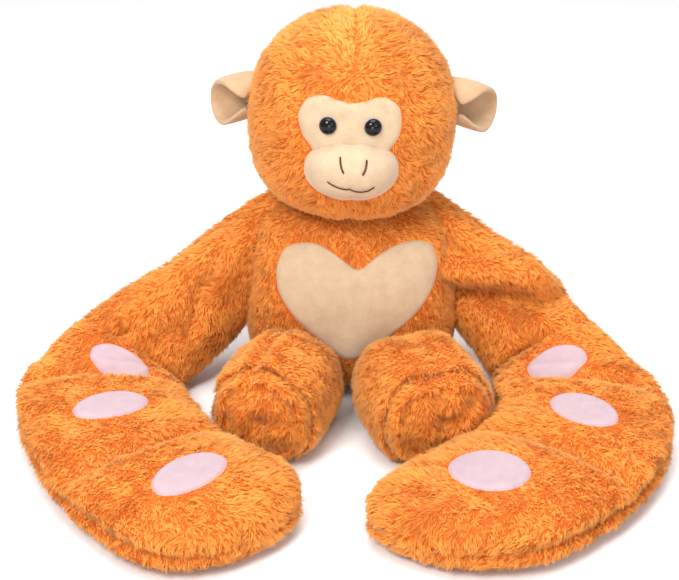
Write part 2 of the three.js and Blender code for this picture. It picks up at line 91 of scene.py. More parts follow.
# Stations along each arm: a point of the band's middle, the way across the band, and its half width.
RIGHT_ARM = [
    ((-91, 2, 102), (0.1, 0, 1), 60),
    ((-138, -18, 67), (-0.34, 0.12, 0.94), 50),
    ((-192, -47, 37.5), (-0.81, 0.2, 0.555), 55),
    ((-208, -78, 23.5), (-0.97, 0.04, 0.22), 65),
    ((-212, -108, 24), (-1, -0.05, 0.05), 73),
    ((-196, -164, 24), (-0.95, -0.3, 0), 72),
    ((-158, -230, 22), (-0.83, -0.56, 0), 74),
    ((-110, -280, 22), (-0.8, -0.6, 0), 78),
    ((-67, -328, 20), (-0.8, -0.6, 0), 74),
]
LEFT_ARM = [
    ((111, 2, 102), (-0.1, 0, 1), 60),
    ((148, -14, 72), (0.35, 0.1, 0.93), 50),
    ((186, -38, 37.5), (0.81, 0.1, 0.59), 52),
    ((206, -78, 24), (0.98, -0.06, 0.19), 63),
    ((213, -117, 24), (0.97, -0.22, 0.03), 76),
    ((207, -172, 24), (0.9, -0.42, 0), 74),
    ((172, -230, 22), (0.8, -0.6, 0), 76),
    ((115, -285, 22), (0.83, -0.56, 0), 76),
    ((54, -332, 20), (0.85, -0.5, 0), 73),
]
ARM_ABOVE = [26, 26, 27, 28, 29, 30, 30, 31, 30]  # how high the band stands over its middle at each station
ARM_BELOW = [24, 24, 24, 24, 24, 24, 23, 22, 20]  # and how far it reaches below
QUILTED = (2, 4, 6)  # the stations with a quilting seam

# Folds in the upper arms: a line in x and z, how deep the cloth sinks in it, how far the cloth above stands
# out over it, how wide it is, and how far that cloth is lifted.
LEFT_FOLD = [(98, 86), (112, 86), (130, 87), (150, 89), (160, 86), (174, 84), (190, 85), (206, 92)]
FOLDS = {
    "left": [
        (LEFT_FOLD, 25, 18, 14, 14),
        ([(98, 142), (108, 130), (122, 126), (140, 124)], 6, 3, 9, 0),
        ([(150, 128), (166, 118), (186, 106)], 4, 2, 9, 0),
    ],
    "right": [
        ([(-98, 140), (-110, 120), (-128, 90), (-134, 62)], 5, 3, 10, 0),
        ([(-176, 74), (-188, 66), (-200, 58), (-216, 52)], 6, 4, 8, 2),
    ],
}

# Pads: the body, the station, the share of the half width, the turn in degrees, and the two half sizes.
PADS = {
    "right": [
        ("forearm", 3.3, -0.12, -22, 31, 20),
        ("wrist", 5.15, 0.03, 0, 34, 22),
        ("hand", 6.93, 0.06, 12, 37, 23),
    ],
    "left": [
        ("forearm", 3.3, -0.15, 24, 30, 23),
        ("wrist", 5.15, 0.03, -18, 33, 24),
        ("hand", 6.88, -0.08, 16, 34, 31),
    ],
}
# An arm's skin: from and to station, the body it follows, the body at its other end if it spans a joint, and
# its CAD panels.
ARM_PARTS = [
    (-0.4, 1.0, "upper_arm", None, ("front", "back")),
    (1.0, 3.0, "upper_arm", "forearm", ()),
    (3.0, 5.0, "forearm", "wrist", ("top", "bottom")),
    (5.0, 7.0, "wrist", "hand", ("top", "bottom")),
    (7.0, 8.0, "hand", None, ("top", "bottom")),
]
ARM_WADS = [  # the body, its middle station, and the wad's size as a share of the skin's
    ("upper_arm", 0.9, 0.55),
    ("forearm", 3.1, 0.7),
    ("wrist", 5, 0.75),
    ("hand", 7, 0.75),
]

# The legs: forward position, share of the full size, and height of the middle as a share of the half height.
LEG = [
    (-66, 0.40, 0.70), (-72, 0.60, 0.72), (-82, 0.78, 0.78), (-96, 0.91, 0.90), (-112, 0.98, 0.97),
    (-130, 1.0, 1.0), (-152, 1.0, 1.0), (-178, 0.96, 1.0), (-168, 0.89, 1.0), (-195, 0.80, 1.0),
    (-186, 0.70, 1.0), (-191, 0.52, 1.0), (-194, 0.30, 1.0), (-183, 0.04, 1.0),
]
LEG_ROOT = 76  # how far in front of the side seams the legs turn outwards
# Where the hip is, the foot's half width and half height, and bumps on its rim: angle, height, width.
FEET = {
    "right": (-34, 46.5, 43.5, [(112, 4, 9), (86, 4, 9), (99, -4, 4), (150, 3, 10), (205, 2.5, 16)]),
    "left": (53, 52, 43, [(128, 3, 14), (60, 4, 14), (92, -2, 10), (232, 3, 16), (310, 3, 16)]),
}

# The stitching on the muzzle, in x and z about the muzzle's middle.
NOSTRIL = [(11, 17.3), (10.9, 14), (10.4, 11), (9.3, 8), (7.8, 5.3)]
NOSE_MIDDLE = 0.9
SMILE = [
    (-20.5, -4.8), (-16, -6.8), (-11.8, -8.0), (-7.5, -8.7), (-3.7, -8.8), (-1.9, -7.8),
    (1, -9.3), (5, -10.2), (9, -10.4), (14.4, -9), (19.5, -5.5),
]
SLOPE = 0.075  # the stitching slopes down to the toy's left

CLUMPS_PER_CM2 = 19
STRANDS = 4  # in a clump
STRAND_RADIUS = 0.37
STRAND_ROOT = 1.6  # how far the strands start below the cloth's face
CLUMP_SPREAD = 1.2
MOST_STRANDS = 19000  # in one piece
STRAND_FACES = [  # of a strand's 7 points: 3 round its root, 3 round its knee, and its tip
    (0, 1, 4), (0, 4, 3), (1, 2, 5), (1, 5, 4), (2, 0, 3), (2, 3, 5),
    (3, 4, 6), (4, 5, 6), (5, 3, 6), (2, 1, 0),
]

FLOOR = {"half": 6000, "height": -0.5}
CAMERA = {"target": (0, -60, 106.8), "distance": 1300, "tilt": math.radians(25), "lens": 76.56}
LIGHTS = [  # name, place in metres, size in metres, and power
    ("key", (-0.8, -1.5, 1.9), 0.8, 48),
    ("top", (0.1, 0.1, 2.8), 2.0, 72),
    ("fill", (1.3, -1.5, 1.2), 1.2, 10),
    ("front", (0.1, -2.2, 0.45), 0.9, 12),
]

torso_low, torso_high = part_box("torso_back_skin")
SHIFT = np.array([(torso_low.x + torso_high.x) * 500 - MIDDLE, torso_low.y * 1000 - 0.2, 0.0])


def to_frame(points):
    """Points in the drawing frame, moved to the CAD frame, in metres."""
    return (np.asarray(points, float) + SHIFT) / 1000


# ------------------------ small maths


def unit(v):
    return v / np.maximum(np.linalg.norm(v, axis=-1, keepdims=True), 1e-9)


def lerp(a, b, t):
    return a + (b - a) * t


def bump(distance, width):
    """A smooth bump, 1 at distance 0."""
    return np.exp(-((distance / width) ** 2))


def waves(points, size, seed, count=14):
    """Smooth noise between about -1 and 1, with features of the given size."""
    rng = np.random.default_rng(seed)
    ways = unit(rng.normal(size=(count, 3))) * (2 * math.pi / size) * rng.uniform(0.6, 1.5, (count, 1))
    return np.sin(points @ ways.T + rng.uniform(0, 2 * math.pi, count)).sum(1) * math.sqrt(2 / count) * 0.7


def along_list(values, u):
    """The value at place u along a list."""
    return np.interp(u, np.arange(len(values)), values)


def through(a, b, c, d, f):
    """The point at share f of the way from b to c on a smooth curve through a, b, c and d."""
    cubic = 3 * b - a - 3 * c + d
    return 0.5 * (2 * b + (c - a) * f + (2 * a - 5 * b + 4 * c - d) * f**2 + cubic * f**3)


def smooth_path(points, steps=48):
    """A list of points as an even path with its corners rounded off."""
    points = np.array(points, float)
    k = np.arange(len(points))
    t = np.linspace(0, len(points) - 1, steps)
    out = np.stack([np.interp(t, k, points[:, i]) for i in range(points.shape[1])], -1)
    for _ in range(3):
        out[1:-1] = (out[:-2] + 2 * out[1:-1] + out[2:]) / 4
    return out


def turns(count):
    """Angles evenly spread round a circle."""
    return np.arange(count) * 2 * math.pi / count


def from_head(points):
    """Points in the head's own frame, moved to the drawing frame."""
    c, s = math.cos(ROLL), math.sin(ROLL)
    x, y, z = np.moveaxis(np.asarray(points, float), -1, 0)
    return PIVOT + np.stack([x * c + z * s, y, -x * s + z * c], -1)


def to_head(points):
    """Points in the drawing frame, moved to the head's own frame."""
    c, s = math.cos(ROLL), math.sin(ROLL)
    x, y, z = np.moveaxis(np.asarray(points, float) - PIVOT, -1, 0)
    return np.stack([x * c - z * s, y, x * s + z * c], -1)


# ------------------------ meshes


def make(name, points, faces, material):
    """A smooth mesh object from points in the drawing frame and lists of equal-sided faces."""
    me = bpy.data.meshes.new(name)
    points = to_frame(points).astype(np.float32)
    me.vertices.add(len(points))
    me.vertices.foreach_set("co", points.ravel())
    loops = np.concatenate([np.asarray(f, np.int32).ravel() for f in faces])
    sizes = np.concatenate([np.full(len(f), np.asarray(f).shape[1], np.int32) for f in faces])
    me.loops.add(len(loops))
    me.loops.foreach_set("vertex_index", loops)
    me.polygons.add(len(sizes))
    me.polygons.foreach_set("loop_start", np.concatenate([[0], np.cumsum(sizes)[:-1]]).astype(np.int32))
    me.update(calc_edges=True)
    me.polygons.foreach_set("use_smooth", np.full(len(sizes), True))
    me.materials.append(material)
    ob = bpy.data.objects.new(name, me)
    bpy.context.scene.collection.objects.link(ob)
    return ob


def ring_faces(rows, around):
    """Quads between rows of points that close round on themselves."""
    i, j = np.meshgrid(np.arange(rows - 1), np.arange(around), indexing="ij")
    a, b = i * around + j, i * around + (j + 1) % around
    return np.stack([a, b, b + around, a + around], -1).reshape(-1, 4)


def fan_faces(start, around, tip, flip):
    """Triangles from one row of points to a point at its middle."""
    j = np.arange(around)
    ring = [start + j, start + (j + 1) % around, np.full(around, tip)]
    return np.stack(ring[::-1] if flip else ring, -1)


def squared(c, s, power):
    """How far out the rim of a squared circle lies along the way (c, s)."""
    return (np.abs(c) ** power + np.abs(s) ** power) ** (-1 / power)


def lathe(profile, around=48):
    """Rings of points from a profile of (radius, height) that is turned about z."""
    return np.array([[(r * math.cos(a), r * math.sin(a), h) for a in turns(around)] for r, h in profile])


def closed(grid):
    """Points and faces of a grid of rings, with a fan over each end."""
    rows, around, _ = grid.shape
    points = np.concatenate([grid.reshape(-1, 3), grid[0].mean(0)[None], grid[-1].mean(0)[None]])
    last = rows * around
    fans = [fan_faces(0, around, last, True), fan_faces(last - around, around, last + 1, False)]
    return points, [ring_faces(rows, around), np.concatenate(fans)]


def turned_over(faces):
    return [f[:, ::-1] for f in faces]


def triangles(faces):
    """Lists of triangles and quads as one list of triangles."""
    out = []
    for f in faces:
        out.append(f[:, :3])
        if f.shape[1] == 4:
            out.append(f[:, [0, 2, 3]])
    return np.concatenate(out)


def vertex_normals(points, tris):
    p = points[tris]
    face = np.cross(p[:, 1] - p[:, 0], p[:, 2] - p[:, 0])
    normals = np.zeros_like(points)
    for k in range(3):
        np.add.at(normals, tris[:, k], face)
    return unit(normals)


def ball(detail=5):
    """Directions and triangles of an even sphere."""
    bm = bmesh.new()
    bmesh.ops.create_icosphere(bm, subdivisions=detail, radius=1)
    bm.verts.ensure_lookup_table()
    ways = np.array([v.co[:] for v in bm.verts])
    tris = np.array([[v.index for v in f.verts] for f in bm.faces])
    bm.free()
    return unit(ways), tris


def round_body(shape, ways):
    """Points on a rounded body, in each direction from its centre."""
    a, b, c = shape["radii"]
    power = np.where(ways[:, 2] > 0, shape["above"], shape["below"])
    level = np.hypot(ways[:, 0] / a, ways[:, 1] / b)
    reach = (level**power + np.abs(ways[:, 2] / c) ** power) ** (-1 / power)
    return ways * reach[:, None] + np.array(shape["centre"], float)


def front_of(shape, x, z):
    """The front of a rounded body at x and z: its points and the way that they face."""
    a, b, c = shape["radii"]
    u, w = (x - shape["centre"][0]) / a, (z - shape["centre"][2]) / c
    power = np.where(w > 0, shape["above"], shape["below"])
    level = np.clip(1 - np.abs(w) ** power, 0, 1) ** (1 / power)
    v = np.sqrt(np.clip(level**2 - u**2, 0.0004, 1))
    facing = unit(np.stack([u / a, -v / b, w / c], -1))
    return np.stack([x, shape["centre"][1] - v * b, z], -1), facing


# ------------------------ outlines


def closed_curve(half):
    """A smooth closed outline through a list of points and their mirror images."""
    half = np.array(half, float)
    p = np.concatenate([half, (half * (-1, 1))[::-1]])
    out = []
    for k in range(len(p)):
        a, b, c, d = (p[(k + j) % len(p)] for j in (-1, 0, 1, 2))
        f = np.linspace(0, 1, 12, endpoint=False)[:, None]
        out.append(through(a, b, c, d, f))
    return np.concatenate(out)


class Outline:
    """A closed outline that every ray from its middle crosses once."""

    def __init__(self, points, middle):
        self.middle = np.array(middle, float)
        away = points - self.middle
        turn = np.arctan2(away[:, 1], away[:, 0])
        order = np.argsort(turn)
        self.turn = np.concatenate([turn[order] - 2 * math.pi, turn[order], turn[order] + 2 * math.pi])
        self.size = np.tile(np.hypot(away[:, 0], away[:, 1])[order], 3)

    def radius(self, turn):
        return np.interp(turn, self.turn, self.size)

    def outside(self, x, z):
        """How far outside the outline each point is, along its ray, in mm."""
        dx, dz = x - self.middle[0], z - self.middle[1]
        return np.hypot(dx, dz) - self.radius(np.arctan2(dz, dx))


mask_edge = Outline(closed_curve(MASK), (0, 100))
heart_edge = Outline(closed_curve(HEART), (0, 108))


# ------------------------ materials


def new_material(name):
    """A material, with its nodes, its links and its main shader."""
    m = bpy.data.materials.new(name)
    m.use_nodes = True
    nodes = m.node_tree.nodes
    return m, nodes, m.node_tree.links, nodes["Principled BSDF"]


def ramp(nodes, links, factor, stops):
    """A colour that runs through stops of (position, colour) as the factor rises."""
    node = nodes.new("ShaderNodeValToRGB")
    elements = node.color_ramp.elements
    while len(elements) > 1:
        elements.remove(elements[0])
    elements[0].position, elements[0].color = stops[0][0], (*stops[0][1], 1)
    for at, color in stops[1:]:
        e = elements.new(at)
        e.color = (*color, 1)
    links.new(factor, node.inputs["Fac"])
    return node.outputs["Color"]


def pile_material(name, root, middle, tip):
    """Long pile: the colour runs from dark roots, painted shade between the clumps, to light tips, a painted
    highlight. Each strand has its own shade, a random tone that also paints light and shade on the clumps.
    """
    m, nodes, links, shader = new_material(name)
    uv = nodes.new("ShaderNodeUVMap")
    uv.uv_map = "OFBake"
    split = nodes.new("ShaderNodeSeparateXYZ")
    links.new(uv.outputs["UV"], split.inputs["Vector"])
    # Dark roots are painted shade between the clumps; light tips are a painted highlight.
    length = ramp(nodes, links, split.outputs["Y"], [(0.0, root), (0.45, middle), (1.0, tip)])
    # The strand's shade runs from dark brown to pale: a random tone that also stands in as painted shade and
    # painted highlight on the clumps.
    tone_and_painted_light = [(0.0, (0.60, 0.46, 0.36)), (0.55, (0.93, 0.90, 0.86)), (1.0, (1.0, 1.04, 1.12))]
    shade = ramp(nodes, links, split.outputs["X"], tone_and_painted_light)
    mix = nodes.new("ShaderNodeMix")
    mix.data_type = "RGBA"
    mix.blend_type = "MULTIPLY"
    mix.inputs["Factor"].default_value = 1
    links.new(length, mix.inputs["A"])
    links.new(shade, mix.inputs["B"])
    links.new(mix.outputs["Result"], shader.inputs["Base Color"])
    shader.inputs["Roughness"].default_value = 0.62
    shader.inputs["Specular IOR Level"].default_value = 0.25
    shader.inputs["Sheen Weight"].default_value = 0.45
    shader.inputs["Sheen Roughness"].default_value = 0.5
    shader.inputs["Sheen Tint"].default_value = (1.0, 0.70, 0.38, 1)
    return m


def plush_material(name, low, high, scale=900, strength=0.35, sheen=0.4, roughness=0.9):
    """Short plush: fine mottling and a fine nap in the bump."""
    m, nodes, links, shader = new_material(name)
    where = nodes.new("ShaderNodeTexCoord")
    fine = nodes.new("ShaderNodeTexNoise")
    fine.inputs["Scale"].default_value = scale
    fine.inputs["Detail"].default_value = 4
    fine.inputs["Roughness"].default_value = 0.65
    broad = nodes.new("ShaderNodeTexNoise")
    broad.inputs["Scale"].default_value = scale / 9
    broad.inputs["Detail"].default_value = 3
    add = nodes.new("ShaderNodeMath")
    add.operation = "MULTIPLY_ADD"
    add.inputs[1].default_value = 0.55
    for node in (fine, broad):
        links.new(where.outputs["Object"], node.inputs["Vector"])
    links.new(fine.outputs["Fac"], add.inputs[0])
    half = nodes.new("ShaderNodeMath")
    half.operation = "MULTIPLY"
    half.inputs[1].default_value = 0.45
    links.new(broad.outputs["Fac"], half.inputs[0])
    links.new(half.outputs["Value"], add.inputs[2])
    color = ramp(nodes, links, add.outputs["Value"], [(0.34, low), (0.64, high)])
    links.new(color, shader.inputs["Base Color"])
    relief = nodes.new("ShaderNodeBump")
    relief.inputs["Strength"].default_value = strength
    relief.inputs["Distance"].default_value = 0.0006
    links.new(fine.outputs["Fac"], relief.inputs["Height"])
    links.new(relief.outputs["Normal"], shader.inputs["Normal"])
    shader.inputs["Roughness"].default_value = roughness
    shader.inputs["Specular IOR Level"].default_value = 0.15
    shader.inputs["Sheen Weight"].default_value = sheen
    shader.inputs["Sheen Roughness"].default_value = 0.4
    return m


def gloss_material(name, color):
    """The hard, shiny plastic of the eyes."""
    m, _, _, shader = new_material(name)
    shader.inputs["Base Color"].default_value = (*color, 1)
    shader.inputs["Roughness"].default_value = 0.05
    shader.inputs["Specular IOR Level"].default_value = 0.26
    return m


def hard_material(name, low, high, scale, strength, roughness):
    """Plain moulded plastic, with faint mottling."""
    return plush_material(name, low, high, scale, strength, sheen=0, roughness=roughness)


# The root colour is painted shade between the clumps, and the tip colour is a painted highlight.
fur = pile_material("plush_pile", (0.52, 0.100, 0.006), (0.93, 0.280, 0.030), (1.0, 0.455, 0.105))
# The backing is darker than the pile's middle: painted shade in the gaps between the clumps.
backing = plush_material("fur_backing_painted_shade", (0.45, 0.09, 0.010), (0.56, 0.12, 0.016), sheen=0.0)
cream = plush_material("cream_plush", (0.45, 0.325, 0.208), (0.55, 0.41, 0.272))
tan = plush_material("ear_plush", (0.42, 0.26, 0.145), (0.51, 0.335, 0.20))
pink = plush_material("pink_plush", (0.40, 0.285, 0.315), (0.465, 0.345, 0.375))
fibre = plush_material("fibre_fill", (0.78, 0.77, 0.73), (0.93, 0.92, 0.89), 300, 0.8)
thread = plush_material("dark_thread", (0.05, 0.018, 0.01), (0.12, 0.045, 0.025), 2500, 0.8, sheen=0.1)
nylon = hard_material("washer_nylon", (0.70, 0.70, 0.68), (0.80, 0.80, 0.78), 200, 0.1, 0.45)
rim = hard_material("eye_rim", (0.22, 0.22, 0.24), (0.32, 0.32, 0.34), 150, 0.05, 0.35)
gloss = gloss_material("eye_gloss", (0.004, 0.004, 0.005))


# ------------------------ pile


def weighted_areas(points, tris, weight):
    """Each triangle's area in mm2, times the share of the pile that grows on it."""
    p = points[tris]
    area = np.linalg.norm(np.cross(p[:, 1] - p[:, 0], p[:, 2] - p[:, 0]), axis=1) / 2
    return area * weight[tris].mean(1)


def sample(areas, count, rng):
    """Evenly spread points on triangles, as triangle numbers and corner shares."""
    total = np.cumsum(areas)
    at = (np.arange(count) + rng.random(count)) / count * total[-1]
    which = np.minimum(np.searchsorted(total, at), len(areas) - 1)
    a, b = rng.random((2, count))
    swap = a + b > 1
    a[swap], b[swap] = 1 - a[swap], 1 - b[swap]
    return which, np.stack([1 - a - b, a, b], 1)


def comb(at, up, nap, seed, rng):
    """The way that each clump lies, and the way across it: the nap, turned by broad and narrow swirls."""
    lay = nap(at, up)
    lay = unit(lay - up * (lay * up).sum(1, keepdims=True))
    side = np.cross(up, lay)
    swirl = 0.55 * waves(at, 34, seed + 1) + 0.35 * waves(at, 13, seed + 2) + rng.normal(0, 0.16, len(at))
    c, s = np.cos(swirl)[:, None], np.sin(swirl)[:, None]
    return lay * c + side * s, side * c - lay * s


def clumps(at, up, lay, side, lift, long, rng):
    """The root, knee and tip of every strand. The strands of a clump draw together towards its tip."""

    def rise(start, size):
        first = unit(up[:, None] * 0.95 + lay[:, None] * 0.5)
        second = unit(up[:, None] * lift[:, None, None] + lay[:, None])
        knee = start + first * size[..., None] * 0.45
        return knee, knee + second * size[..., None] * 0.62

    spread = rng.normal(0, 1, (len(at), STRANDS, 2)) * CLUMP_SPREAD
    spread[:, 0] = 0
    root = at[:, None] + lay[:, None] * spread[..., :1] + side[:, None] * spread[..., 1:]
    root = root - up[:, None] * STRAND_ROOT
    knee, tip = rise(root, long[:, None] * rng.uniform(0.72, 1.12, (len(at), STRANDS)))
    clump_knee, clump_tip = rise(root[:, :1], long[:, None])
    together = rng.uniform(0.25, 0.6, (len(at), STRANDS, 1))
    knee = lerp(knee, clump_knee, together * 0.3)
    tip = lerp(tip, clump_tip + (tip - clump_tip) * 0.25, together) + rng.normal(0, 0.5, tip.shape)
    return [a.reshape(-1, 3) for a in (root, knee, tip)]


def grow(name, points, tris, nap, length, seed, weight=None):
    """Pile on a surface: clumps of tapered strands, in one or more pieces.

    nap(points, normals) gives the way that they lie, and length(points) how long they are, in mm. No strand
    grows where that is 0.
    """
    rng = np.random.default_rng(seed)
    areas = weighted_areas(points, tris, np.ones(len(points)) if weight is None else weight)
    which, share = sample(areas, int(areas.sum() / 100 * CLUMPS_PER_CM2), rng)
    at = (points[tris[which]] * share[..., None]).sum(1)
    up = unit((vertex_normals(points, tris)[tris[which]] * share[..., None]).sum(1))
    long = length(at)
    keep = long > 0
    at, up, long = at[keep], up[keep], long[keep]
    count = len(at)
    lay, side = comb(at, up, nap, seed, rng)
    lift = 0.60 + 0.20 * waves(at, 19, seed + 3) + 0.12 * rng.normal(size=count)
    long = long * (1 + 0.10 * waves(at, 15, seed + 4)) * rng.uniform(0.85, 1.1, count)
    # Each clump's shade: broad and fine random patches, which also stand in as painted shade and painted
    # highlight on the clumps.
    broad, fine = waves(at, 60, seed + 5), waves(at, 10, seed + 6)
    shade = np.clip(0.55 + 0.22 * broad + 0.22 * fine + rng.normal(0, 0.11, count), 0, 0.97)
    root, knee, tip = clumps(at, up, lay, side, lift, long, rng)

    n = len(root)
    axis = unit(tip - root)
    across = unit(np.cross(axis, np.repeat(up, STRANDS, 0)))
    over = np.cross(axis, across)
    turn = rng.uniform(0, 2 * math.pi, n)[:, None] + turns(3)
    ring = across[:, None] * np.cos(turn)[..., None] + over[:, None] * np.sin(turn)[..., None]
    thick = (STRAND_RADIUS * rng.uniform(0.8, 1.2, n))[:, None, None]
    made = np.concatenate([root[:, None] + ring * thick, knee[:, None] + ring * thick * 0.8, tip[:, None]], 1)
    made[..., 2] = np.maximum(made[..., 2], 0.15)
    tone = np.clip(np.repeat(shade, STRANDS) + rng.normal(0, 0.06, n), 0.01, 0.95)
    sway = np.stack([waves(at, 9, seed + k) for k in (7, 8, 9)], -1)
    upright = np.repeat(unit(up + 0.24 * sway), STRANDS, 0)
    round_way = unit(0.70 * upright[:, None] + 0.66 * ring + rng.normal(0, 0.06, (n, 1, 3)))
    facing = np.concatenate([round_way, round_way, unit(0.8 * upright + 0.25 * axis)[:, None]], 1)
    pieces = np.array_split(np.argsort(root[:, 0]), max(1, math.ceil(n / MOST_STRANDS)))
    return [strand_mesh(f"{name}_{k + 1}", made[p], tone[p], facing[p]) for k, p in enumerate(pieces)]


def strand_mesh(name, strands, tone, facing):
    """One mesh of closed strands. Its UVs hold each strand's shade and the place along it."""
    n = len(strands)
    faces = (np.array(STRAND_FACES)[None] + np.arange(n)[:, None, None] * 7).reshape(-1, 3)
    ob = make(name, strands.reshape(-1, 3), [faces], fur)
    u = tone[:, None] + np.array([0, 0.012, 0.024, 0, 0.012, 0.024, 0.012])
    v = np.tile([0.02, 0.02, 0.02, 0.45, 0.45, 0.45, 0.98], (n, 1))
    uv = np.stack([u, v], -1).reshape(-1, 2)
    layer = ob.data.uv_layers.new(name="OFBake")
    layer.data.foreach_set("uv", uv[faces.ravel()].astype(np.float32).ravel())
    ob.data.normals_split_custom_set_from_vertices(facing.reshape(-1, 3).tolist())
    return ob


# ------------------------ patches of short plush, and stitching


def patch(name, outline, surface, material, crown, rings=26, sectors=120, sculpt=None):
    """A flat-backed panel inside an outline, laid on surface(x, z), which gives points and their facing."""
    turn = np.linspace(-math.pi, math.pi, sectors, endpoint=False)
    share = np.linspace(1, 0, rings, endpoint=False) ** 0.8
    r, t = np.meshgrid(share, turn, indexing="ij")
    size = outline.radius(t) * r
    x, z = outline.middle[0] + size * np.cos(t), outline.middle[1] + size * np.sin(t)
    at, facing = surface(x.ravel(), z.ravel())
    rim = 1 - bump((1 - r.ravel()) * outline.size.mean(), 3.0)
    height = crown * rim - 0.8
    if sculpt is not None:
        height = height + sculpt(x.ravel(), z.ravel())
    front = (at + facing * height[:, None]).reshape(rings, sectors, 3)
    back = (at - facing * 2.0)[:sectors].reshape(1, sectors, 3)
    points, faces = closed(np.concatenate([back, front]))
    return make(name, points, faces, material)


def stitch_tube(name, path, radius, sides=8, twist=2.0):
    """A twisted thread through the points of a path, with rounded ends."""
    path = np.asarray(path, float)
    way = unit(np.gradient(path, axis=0))
    across = unit(np.cross(way, np.array([0.0, 0.3, 1.0])))
    over = np.cross(way, across)
    turn = turns(sides)
    run = np.concatenate([[0], np.cumsum(np.linalg.norm(np.diff(path, axis=0), axis=1))])
    to_end = np.clip(np.minimum(run, run[-1] - run) / radius, 0, 1)
    ends = np.sqrt(np.clip(1 - (1 - to_end) ** 2, 0.05, 1))
    ridges = 1 + 0.18 * np.cos(2 * (turn[None] - twist * run[:, None]))
    size = radius * ends[:, None] * ridges
    ring = across[:, None] * np.cos(turn)[None, :, None] + over[:, None] * np.sin(turn)[None, :, None]
    points, faces = closed(path[:, None] + ring * size[..., None])
    return make(name, points, faces, thread)


# ------------------------ head

ball_ways, ball_tris = ball()


def head_length(at):
    """The pile is short round the face and at the centre seam, and stops at the face and the neck."""
    local = to_head(at)
    x, z = local[:, 0] - FACE, local[:, 2]
    out = mask_edge.outside(x, z)
    face = local[:, 1] < -20
    size = 6.8 - 2.0 * bump(np.where(face, np.maximum(out, 0), 99), 7)
    size = size - 1.5 * bump(local[:, 0], 3) * (z > 120)
    size[face & (out < -2.2)] = 0
    muzzle = np.hypot((x - 2) / 38, (z - MUZZLE["centre"][2]) / 25)
    size[face & (muzzle < 1)] = 0
    neck = np.hypot(local[:, 0], local[:, 1]) < 20
    size[neck & (z < 25)] = 0
    return size


def head_nap(at, up):
    """The nap runs back and down, and parts to the sides on the crown."""
    local = to_head(at)
    x, none = local[:, 0], np.zeros(len(at))
    down = np.stack([x * 0.012, none + 0.45, none - 0.9], -1)
    parted = np.stack([np.sign(x) * 0.7, none + 0.6, none], -1)
    top = np.clip((local[:, 2] - 120) / 50, 0, 1)[:, None]
    return down * (1 - 0.7 * top) + parted * top


def build_head():
    local = round_body(HEAD, ball_ways)
    x, y, z = local.T
    seam = bump(x, 5.0) * np.where(y < -30, np.clip((np.abs(z - 95) - 45) / 20, 0, 1), 1)
    points = from_head(local - ball_ways * (seam * 2.2)[:, None])
    skin = make("head_skin", points, [ball_tris], backing)
    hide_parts("head_skin_left", "head_skin_right")
    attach(skin, "head")
    for pile in grow("head_pile", points, ball_tris, head_nap, head_length, seed=11):
        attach(pile, "head")


def face_surface(x, z):
    """The head's front under the face: points and facing."""
    at, facing = front_of(HEAD, x + FACE, z)
    return from_head(at), unit(from_head(at + facing) - from_head(at))


def build_face():
    def sockets(x, z):
        eyes = sum(bump(np.hypot(x - s * EYE["spread"], z - EYE["height"]), 9) for s in (-1, 1))
        return -1.6 * eyes + 0.5 * waves(np.stack([x, z, 0 * x], -1), 24, 5)

    mask = patch("face_mask_plush", mask_edge, face_surface, cream, crown=2.6, sculpt=sockets)
    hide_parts("face_mask")
    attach(mask, "head")
    for side, sign in SIDES:
        at, facing = front_of(HEAD, np.array([sign * EYE["spread"] + FACE]), np.array([EYE["height"]]))
        at, facing = from_head(at)[0], (from_head(at + facing) - from_head(at))[0]
        build_eye(side, at, facing)


def build_eye(side, at, facing):
    """A safety eye: a shiny dome with a rim, on a stem that goes through the cloth."""
    radius = EYE["radius"]
    stem = [(2.0, -13.0), (2.0, -0.4)]
    edge = [(radius - 0.7, -0.4), (radius + 0.1, 0.0), (radius + 0.1, 0.7), (radius - 0.25, 1.0)]
    rise = np.linspace(0, math.pi / 2, 14)[:-1]
    dome = [((radius - 0.3) * math.cos(t), 1.0 + 5.3 * math.sin(t)) for t in rise]
    axis = Vector(facing).to_track_quat("Z", "Y").to_matrix()
    rings = lathe(stem + edge + dome + [(0.35, 6.29)]) + (0, 0, 0.6)
    points, faces = closed(at + rings @ np.array(axis).T)
    eye = make(f"eye_dome_{side}", points, faces, gloss)
    eye.data.materials.append(rim)
    for polygon in eye.data.polygons:
        if polygon.index < 5 * rings.shape[1]:
            polygon.material_index = 1
    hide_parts(f"eye_{side}")
    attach(eye, "head")


def distance_to(path, x, z):
    """How far each point is from a path, in x and z."""
    return np.min(np.hypot(x[:, None] - path[None, :, 0], z[:, None] - path[None, :, 1]), 1)


def build_muzzle():
    """The muzzle, sunk along its seam and two darts, and drawn in where it is stitched."""
    local = round_body(MUZZLE, ball_ways)
    x, y, z = (local - MUZZLE["centre"]).T
    seam = bump(x, 1.0) * 0.7 + bump(x, 5) * 0.6
    darts = sum(bump(np.hypot((x - s * 25) * 0.35, z + 8 + 0.2 * (s * x - 25)), 1.6) for s in (-1, 1)) * 0.9
    z = z + SLOPE * x
    mouth = bump(distance_to(smooth_path(SMILE), x, z), 2.2)
    nose = bump(distance_to(smooth_path(NOSTRIL), np.abs(x - NOSE_MIDDLE), z), 2.0) * 0.8
    depth = np.where(y < 0, seam + darts + mouth + nose, 0)
    muzzle = make("muzzle_plush", from_head(local - ball_ways * depth[:, None]), [ball_tris], cream)
    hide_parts("muzzle_skin_left", "muzzle_skin_right")
    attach(muzzle, "head")


